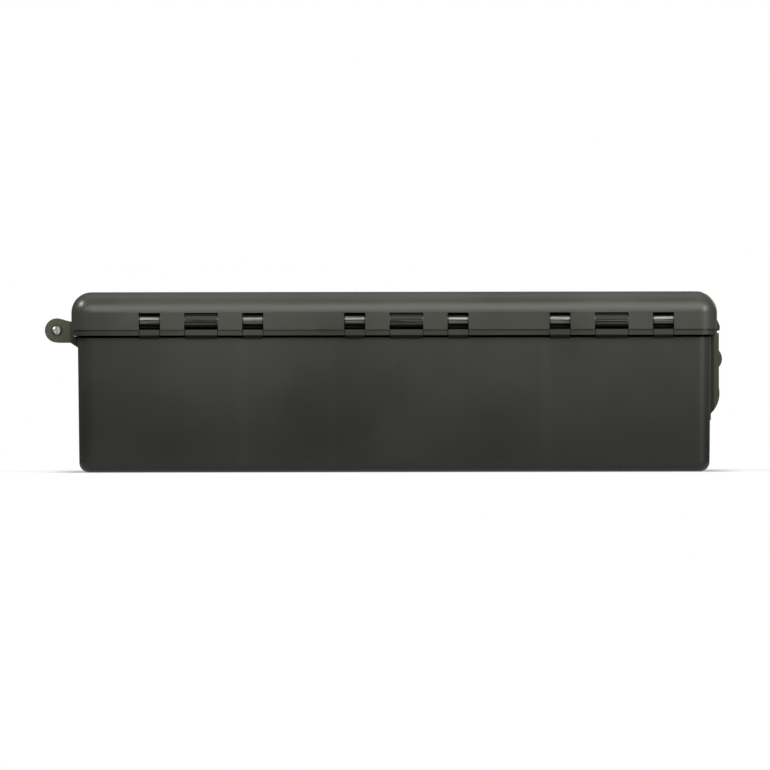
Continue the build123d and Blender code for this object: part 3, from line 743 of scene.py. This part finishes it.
class CASE_OT_handle(bpy.types.Operator):
    """Finish the handle and put finger ribs on its grip."""

    bl_idname = "tackle_case.handle"
    bl_label = "Handle"

    def execute(self, context):
        finish = context.scene.case_finish
        detail = context.scene.handle_detail
        # Moulded nylon: the latches' tone, a little duller
        plastic = moulded_copolymer("Moulded_nylon_handle", finish.latch_colour, finish.case_light, 0.42)
        give_material(["carry_handle", "handle_bracket_left", "handle_bracket_right"], plastic)
        low, high = box_corners("carry_handle")
        reach = detail.rib_pitch * (detail.rib_count - 1)
        values = {
            "Count": detail.rib_count,
            "Start": (-reach / 2, high.y - RIB_INSET, low.z + RIB_HEIGHT),
            "Step": (detail.rib_pitch, 0.0, 0.0),
            "Length": (0.0, 0.0, detail.rib_length),
            "Radius": detail.rib_radius,
        }
        ribs = row_tree("Finger_ribs", round_bar, BAR_SIZES)
        bake_tree("handle_ribs", ribs, values, "handle", plastic)
        return {"FINISHED"}


class CASE_OT_dividers(bpy.types.Operator):
    """Finish the partitions and dividers as thin moulded sheet."""

    bl_idname = "tackle_case.dividers"
    bl_label = "Dividers"

    def execute(self, context):
        finish = context.scene.case_finish
        # Moulded styrene: paler and a little glossier than the shells
        tones = finish.divider_colour, finish.case_light, 0.36
        plastic = moulded_copolymer("Moulded_styrene_divider", *tones)
        names = [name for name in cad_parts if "divider" in name or "partition" in name]
        give_material(names, plastic)
        return {"FINISHED"}


def area_lamp(name, place, target, size, power):
    """A white rectangular soft lamp that looks at a point."""
    data = bpy.data.lights.new(name, "AREA")
    data.shape = "RECTANGLE"
    data.size, data.size_y = size
    data.energy = power
    lamp = bpy.data.objects.new(name, data)
    bpy.context.scene.collection.objects.link(lamp)
    lamp.location = place
    aim = Vector(target) - Vector(place)
    lamp.rotation_euler = aim.to_track_quat("-Z", "Y").to_euler()


class CASE_OT_stage(bpy.types.Operator):
    """Set the white floor, the soft lamps and the camera."""

    bl_idname = "tackle_case.stage"
    bl_label = "Studio"

    def execute(self, context):
        scene = context.scene
        setup = scene.studio_setup
        sheet = bpy.data.meshes.new("paper_floor")
        signs = ((-1, -1), (1, -1), (1, 1), (-1, 1))
        points = [(x * FLOOR_HALF_WIDTH, y * FLOOR_HALF_WIDTH, 0) for x, y in signs]
        sheet.from_pydata(points, [], [(0, 1, 2, 3)])
        floor = bpy.data.objects.new("paper_floor", sheet)
        scene.collection.objects.link(floor)
        foot = LID_LENGTH / 2 - FOOT_INSET, -LID_LOW.y - FOOT_INSET
        paper = studio_paper("White_studio_paper", *foot, fade=100 * MM, near_glow=0.42, mid_glow=0.85)
        sheet.materials.append(paper)

        world = bpy.data.worlds.new("Studio_surround")
        scene.world = world
        studio_surround(world, setup.horizon_level, setup.zenith_level)
        for lamp in LAMPS:
            area_lamp(*lamp)

        data = bpy.data.cameras.new("Product_camera")
        data.sensor_width = SENSOR_WIDTH
        data.lens = setup.focal_length
        data.clip_end = 40.0
        distance = setup.focal_length * setup.view_width / SENSOR_WIDTH
        camera = bpy.data.objects.new("Product_camera", data)
        scene.collection.objects.link(camera)
        camera.location = (setup.view_x, LID_LOW.y - distance, setup.view_z)
        camera.rotation_euler = (radians(90), setup.roll, 0.0)
        scene.camera = camera
        scene.view_settings.view_transform = "Standard"
        return {"FINISHED"}


class CASE_PT_panel(bpy.types.Panel):
    """Lists the case's settings and pieces in the sidebar."""

    bl_label = "Tackle case"
    bl_idname = "CASE_PT_panel"
    bl_space_type = "VIEW_3D"
    bl_region_type = "UI"
    bl_category = "Tackle case"

    def draw(self, context):
        for name in SETTINGS:
            settings = getattr(context.scene, name)
            for prop in settings.__annotations__:
                self.layout.prop(settings, prop)
        for operator in OPERATORS:
            self.layout.operator(operator.bl_idname)


SETTINGS = {
    "case_finish": CaseFinish,
    "hinge_detail": HingeDetail,
    "latch_detail": LatchDetail,
    "handle_detail": HandleDetail,
    "studio_setup": StudioSetup,
}
OPERATORS = (
    CASE_OT_shells,
    CASE_OT_steel,
    CASE_OT_hinges,
    CASE_OT_dust_lips,
    CASE_OT_latches,
    CASE_OT_handle,
    CASE_OT_dividers,
    CASE_OT_stage,
)
CLASSES = (*SETTINGS.values(), *OPERATORS, CASE_PT_panel)


def register():
    for item in CLASSES:
        bpy.utils.register_class(item)
    for name, group in SETTINGS.items():
        setattr(bpy.types.Scene, name, bpy.props.PointerProperty(type=group))


def unregister():
    for name in SETTINGS:
        delattr(bpy.types.Scene, name)
    for item in reversed(CLASSES):
        bpy.utils.unregister_class(item)


def main():
    register()
    bpy.ops.tackle_case.shells()
    bpy.ops.tackle_case.steel()
    bpy.ops.tackle_case.hinges()
    bpy.ops.tackle_case.dust_lips()
    bpy.ops.tackle_case.latches()
    bpy.ops.tackle_case.handle()
    bpy.ops.tackle_case.dividers()
    bpy.ops.tackle_case.stage()


if __name__ == "__main__":
    main()
